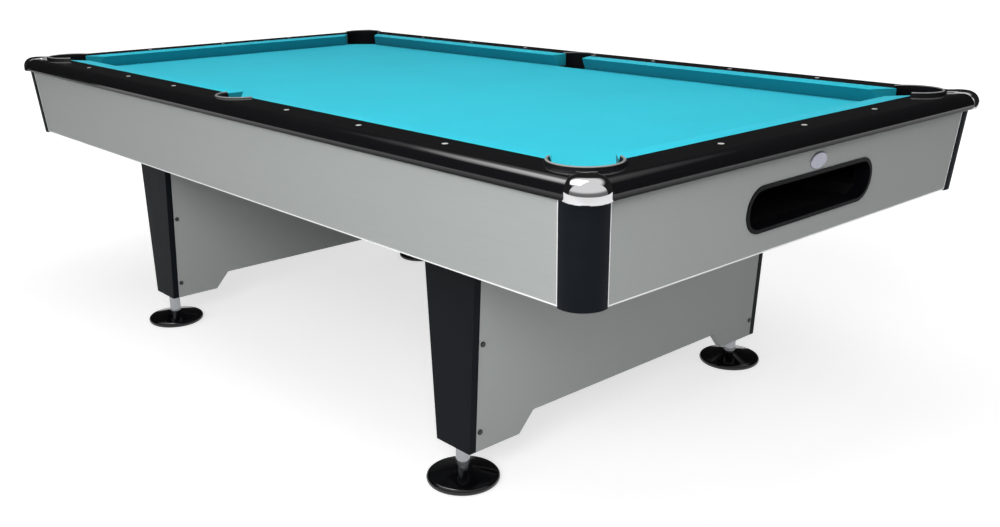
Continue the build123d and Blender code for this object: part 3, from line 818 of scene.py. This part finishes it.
def stage_piece(name, mesh, material):
    data = bpy.data.meshes.new(name)
    mesh.to_mesh(data)
    mesh.free()
    data.materials.append(material)
    piece = bpy.data.objects.new(name, data)
    bpy.context.scene.collection.objects.link(piece)
    return piece


def seen_only_in_reflections(piece):
    piece.visible_camera = False
    piece.visible_diffuse = False
    piece.visible_transmission = False
    piece.visible_shadow = False


glow_look = {
    "Base Color": (0, 0, 0, 1),
    "Roughness": 1.0,
    "Specular IOR Level": 0.0,
    "Emission Color": (1, 1, 1, 1),
}


def make_floor():
    """A pale floor that keeps the shadow near the table and fades to white away from it."""
    look = {"Base Color": floor_tone, "Roughness": 0.9, "Specular IOR Level": 0.1}
    material, tree, shader, place = new_finish("pale_floor", look)
    shader.inputs["Emission Color"].default_value = (1, 1, 1, 1)
    away = add_node(tree, "ShaderNodeVectorMath", {0: place}, operation="LENGTH").outputs["Value"]
    glow = span(tree, away, floor_glow_near, floor_glow_far, floor_fade_start, floor_fade_stop)
    feed(tree, shader, Emission_Strength=combine(tree, "MULTIPLY", seen_directly(tree), glow))
    mesh = bmesh.new()
    bmesh.ops.create_grid(mesh, x_segments=1, y_segments=1, size=floor_half_size)
    stage_piece("floor", mesh, material)


def make_wall(name, level, radius, start, sweep, fade_start, top):
    """A dark round wall that only reflections see, fading to white at its top."""
    material, tree, shader, place = new_finish(name, glow_look)
    height = upward(tree, place)
    feed(tree, shader, Emission_Strength=span(tree, height, level, 1.0, fade_start, top))
    mesh = bmesh.new()
    x = radius * math.cos(start)
    y = radius * math.sin(start)
    edge = mesh.edges.new([mesh.verts.new((x, y, 0)), mesh.verts.new((x, y, top))])
    bmesh.ops.spin(
        mesh,
        geom=[edge, *edge.verts],
        axis=(0, 0, 1),
        cent=(0, 0, 0),
        angle=sweep,
        steps=wall_steps,
        use_merge=sweep == full_turn,
    )
    seen_only_in_reflections(stage_piece(name, mesh, material))


def make_walls():
    """A tall wall behind the table as the photograph sees it, and a low one all round."""
    make_wall(
        "tall_wall",
        tall_wall_level,
        tall_wall_radius,
        tall_wall_start,
        tall_wall_sweep,
        tall_wall_fade_start,
        tall_wall_top,
    )
    make_wall(
        "low_wall",
        low_wall_level,
        low_wall_radius,
        0.0,
        full_turn,
        low_wall_fade_start,
        low_wall_top,
    )


def make_ceiling_strip():
    """A soft-edged strip overhead that only reflections see, brightest near the foot end."""
    material, tree, shader, place = new_finish("ceiling_strip", glow_look)
    spot = add_node(tree, "ShaderNodeSeparateXYZ", {"Vector": place})
    foot_end = strip_middle.x + strip_length / 2
    head_end = strip_middle.x - strip_length / 2
    brightest = foot_end - strip_fade
    along = span(tree, spot.outputs["X"], 0.0, strip_level - 1, head_end, brightest)
    ending = span(tree, spot.outputs["X"], 1.0, 0.0, brightest, foot_end)
    off_middle = combine(tree, "SUBTRACT", spot.outputs["Y"], strip_middle.y)
    across = combine(tree, "ABSOLUTE", off_middle)
    edges = span(tree, across, 1.0, 0.0, strip_soft_from, strip_width / 2)
    faded = combine(tree, "MULTIPLY", along, ending)
    feed(tree, shader, Emission_Strength=combine(tree, "MULTIPLY_ADD", faded, edges, 1.0))
    mesh = bmesh.new()
    shape = Matrix.Translation(strip_middle) @ Matrix.Diagonal((strip_length, strip_width, 1, 1))
    bmesh.ops.create_grid(mesh, x_segments=1, y_segments=1, size=0.5, matrix=shape)
    seen_only_in_reflections(stage_piece("ceiling_strip", mesh, material))


def area_light(name, place, target, size, power):
    """A lamp that reflections don't see."""
    data = bpy.data.lights.new(name, "AREA")
    data.shape = "RECTANGLE"
    data.size, data.size_y = size
    data.energy = power
    lamp = bpy.data.objects.new(name, data)
    aim = (Vector(target) - Vector(place)).to_track_quat("-Z", "Y")
    lamp.matrix_world = Matrix.Translation(place) @ aim.to_matrix().to_4x4()
    lamp.visible_glossy = False
    bpy.context.scene.collection.objects.link(lamp)


def make_light():
    world = bpy.data.worlds.new("studio")
    bpy.context.scene.world = world
    world.use_nodes = True
    tree = world.node_tree
    sky = tree.nodes["Background"]
    sky.inputs["Color"].default_value = (1, 1, 1, 1)
    tree.links.new(span(tree, seen_directly(tree), world_level, 1.0), sky.inputs["Strength"])
    area_light("overhead", overhead_place, overhead_target, overhead_size, overhead_power)
    area_light("key", key_place, key_target, key_size, key_power)
    area_light("under_fill", fill_place, fill_target, fill_size, fill_power)


def make_camera():
    data = bpy.data.cameras.new("photo_camera")
    data.sensor_width = camera_film
    data.lens = camera_lens
    data.shift_x, data.shift_y = camera_shift
    data.clip_end = 100
    camera = bpy.data.objects.new("photo_camera", data)
    heading = Matrix.Rotation(camera_heading, 4, "Z")
    dip = Matrix.Rotation(math.pi / 2 - camera_dip, 4, "X")
    roll = Matrix.Rotation(camera_roll, 4, "Z")
    camera.matrix_world = Matrix.Translation(camera_place) @ heading @ dip @ roll
    bpy.context.scene.collection.objects.link(camera)
    bpy.context.scene.camera = camera


make_camera()
dress_frame()
make_bed_cloth()
make_cushions()
make_caps()
make_gutter_ledges()
make_edge_strips()
make_floor()
make_walls()
make_ceiling_strip()
make_light()
bpy.context.scene.view_settings.view_transform = "Standard"
